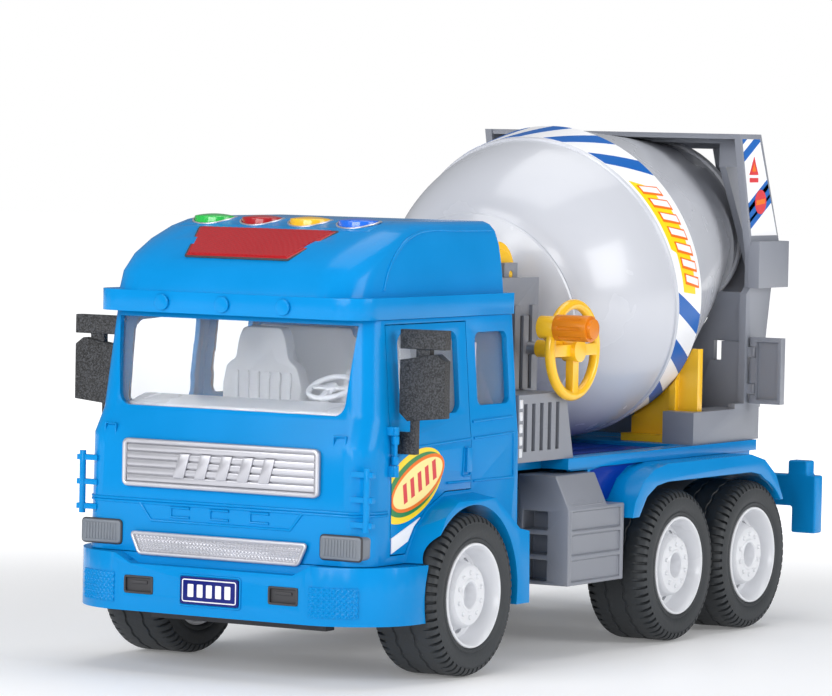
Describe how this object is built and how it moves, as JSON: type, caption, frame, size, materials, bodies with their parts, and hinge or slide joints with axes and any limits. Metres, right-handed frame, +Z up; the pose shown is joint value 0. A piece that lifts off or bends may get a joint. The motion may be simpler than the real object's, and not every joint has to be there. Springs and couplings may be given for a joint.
{
  "type": "toy cement mixer truck",
  "caption": "Toy cement mixer truck with a tilting-axis mixing drum turned by a hand crank, opening cab doors, sprung roof buttons and rolling wheels.",
  "frame": {"origin": "on the ground under the middle of the overall box", "axes": "-Y is the truck's nose, +Y its rear, +X its left side, +Z up"},
  "size_m": [0.161, 0.368, 0.2014],
  "materials": {
    "blue_plastic": "gloss",
    "grey_plastic": "satin",
    "dark_plastic": "satin",
    "white_plastic": "gloss",
    "drum_plastic": "gloss",
    "yellow_plastic": "gloss",
    "orange_plastic": "gloss",
    "silver_plastic": "metallic",
    "black_plastic": "textured",
    "rubber": "matte",
    "steel": "drawn",
    "clear_plastic": "gloss",
    "red_lens": "gloss",
    "green_lens": "gloss",
    "yellow_lens": "gloss",
    "blue_lens": "gloss",
    "circuit": "satin"
  },
  "bodies": {
    "truck": {"chassis_frame": "dark_plastic", "battery_box": "dark_plastic", "battery_cover": "dark_plastic", "batteries": "steel", "cab_shell": "blue_plastic", "cab_windows": "clear_plastic", "cab_roof": "blue_plastic", "roof_light_lens": "red_lens", "button_bezel": "blue_plastic", "marker_lamps": "blue_plastic", "circuit_board": "circuit", "speaker": "black_plastic", "radiator_grille": "silver_plastic", "lower_grille": "silver_plastic", "headlights": "silver_plastic", "front_bumper": "blue_plastic", "fog_vents": "black_plastic", "number_plate": "blue_plastic", "cab_interior": "white_plastic", "seats": "white_plastic", "steering_wheel": "white_plastic", "engine_cover": "grey_plastic", "drive_housing": "grey_plastic", "deck": "blue_plastic", "mudguards": "blue_plastic", "step_boxes": "grey_plastic", "rear_tower": "grey_plastic", "rear_hood": "grey_plastic", "drum_cradle": "yellow_plastic", "rear_bumper": "blue_plastic"},
    "drum": {"drum_shell": "drum_plastic", "drum_front_cap": "drum_plastic", "drum_vanes": "drum_plastic", "drum_shaft": "grey_plastic"},
    "crank": {"crank_shaft": "steel", "crank_wheel": "yellow_plastic", "crank_knob": "orange_plastic"},
    "top_wheel": {"top_wheel": "yellow_plastic"},
    "door_left": {"door_left": "blue_plastic", "door_window_left": "clear_plastic", "mirror_left": "black_plastic"},
    "door_right": {"door_right": "blue_plastic", "door_window_right": "clear_plastic", "mirror_right": "black_plastic"},
    "flap_left": {"flap_left": "grey_plastic"},
    "flap_right": {"flap_right": "grey_plastic"},
    "chute": {"discharge_chute": "yellow_plastic"},
    "button_green": {"button_green": "green_lens"},
    "button_red": {"button_red": "red_lens"},
    "button_yellow": {"button_yellow": "yellow_lens"},
    "button_blue": {"button_blue": "blue_lens"},
    "front_wheels": {"front_axle": "steel", "front_rims": "white_plastic", "front_tyres": "rubber"},
    "middle_wheels": {"middle_axle": "steel", "middle_rims": "white_plastic", "middle_tyres": "rubber"},
    "rear_wheels": {"rear_axle": "steel", "rear_rims": "white_plastic", "rear_tyres": "rubber"}
  },
  "joints": [
    {"name": "front_wheels_roll", "type": "hinge", "parent": "truck", "child": "front_wheels", "pos_m": [0, -0.1185, 0.03], "axis": [1, 0, 0], "continuous": true},
    {"name": "middle_wheels_roll", "type": "hinge", "parent": "truck", "child": "middle_wheels", "pos_m": [0, 0.0405, 0.03], "axis": [1, 0, 0], "continuous": true},
    {"name": "rear_wheels_roll", "type": "hinge", "parent": "truck", "child": "rear_wheels", "pos_m": [0, 0.1035, 0.03], "axis": [1, 0, 0], "continuous": true},
    {"name": "door_left_hinge", "type": "hinge", "parent": "truck", "child": "door_left", "pos_m": [0.0629, -0.1593, 0.084], "axis": [0, 0, -1], "range_deg": [0, 65]},
    {"name": "door_right_hinge", "type": "hinge", "parent": "truck", "child": "door_right", "pos_m": [-0.0629, -0.1593, 0.084], "axis": [0, 0, 1], "range_deg": [0, 65]},
    {"name": "button_green_press", "type": "slide", "parent": "truck", "child": "button_green", "axis": [0, 0, 1], "range_m": [-0.0015, 0], "stiffness_N_per_m": 300, "springref_m": 0.0006},
    {"name": "button_red_press", "type": "slide", "parent": "truck", "child": "button_red", "axis": [0, 0, 1], "range_m": [-0.0015, 0], "stiffness_N_per_m": 300, "springref_m": 0.0006},
    {"name": "button_yellow_press", "type": "slide", "parent": "truck", "child": "button_yellow", "axis": [0, 0, 1], "range_m": [-0.0015, 0], "stiffness_N_per_m": 300, "springref_m": 0.0006},
    {"name": "button_blue_press", "type": "slide", "parent": "truck", "child": "button_blue", "axis": [0, 0, 1], "range_m": [-0.0015, 0], "stiffness_N_per_m": 300, "springref_m": 0.0006},
    {"name": "drum_spin", "type": "hinge", "parent": "truck", "child": "drum", "pos_m": [0, 0.0545, 0.1365], "axis": [0, 0.9736, 0.2284], "continuous": true},
    {"name": "crank_spin", "type": "hinge", "parent": "truck", "child": "crank", "pos_m": [0.0625, -0.0305, 0.11656], "axis": [1, 0, 0], "continuous": true},
    {"name": "top_wheel_spin", "type": "hinge", "parent": "truck", "child": "top_wheel", "pos_m": [0.029, -0.0345, 0.1445], "axis": [1, 0, 0], "continuous": true},
    {"name": "flap_left_hinge", "type": "hinge", "parent": "truck", "child": "flap_left", "pos_m": [0.0622, 0.12135, 0.1035], "axis": [0, 0, 1], "range_deg": [0, 88]},
    {"name": "flap_right_hinge", "type": "hinge", "parent": "truck", "child": "flap_right", "pos_m": [-0.0622, 0.12135, 0.1035], "axis": [0, 0, -1], "range_deg": [0, 88]},
    {"name": "chute_swivel", "type": "hinge", "parent": "truck", "child": "chute", "pos_m": [0, 0.1435, 0.09], "axis": [0, 0, 1], "range_deg": [-30, 30]}
  ],
  "couplings": [
    {"joint": "crank_spin", "follows": "drum_spin", "ratio": 2}
  ]
}
